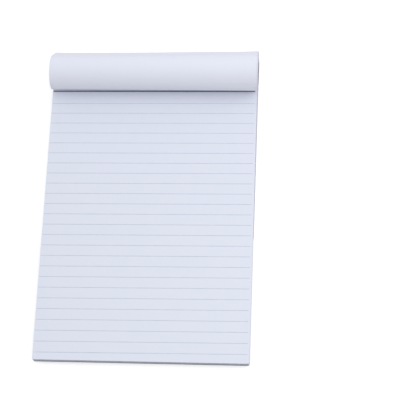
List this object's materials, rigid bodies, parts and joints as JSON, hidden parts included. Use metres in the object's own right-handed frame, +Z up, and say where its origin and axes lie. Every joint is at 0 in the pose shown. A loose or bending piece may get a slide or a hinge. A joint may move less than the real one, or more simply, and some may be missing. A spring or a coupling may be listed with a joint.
{
  "type": "legal pad",
  "caption": "Head-bound ruled writing pad on a stiff board, its cover and first leaves rolled back over the bound head.",
  "frame": {"origin": "under the middle of the overall box, on the surface that the pad lies on", "axes": "+Y up the page towards the bound head, +X to the reader's right, +Z up out of the page"},
  "size_m": [0.148, 0.2308, 0.031],
  "materials": {
    "leaf_paper": "matte",
    "turned_paper": "matte",
    "cover_card": "satin",
    "grey_board": "matte",
    "binding_cloth": "grained",
    "gum": "matte",
    "staple_wire": "bright",
    "rule_ink": "matte"
  },
  "bodies": {
    "root": {"writing_block": "leaf_paper", "turned_leaves": "turned_paper", "front_cover": "cover_card", "backboard": "grey_board", "binding_tape": "binding_cloth", "binding_gum": "gum", "staples": "staple_wire", "page_rules": "rule_ink"}
  },
  "joints": []
}
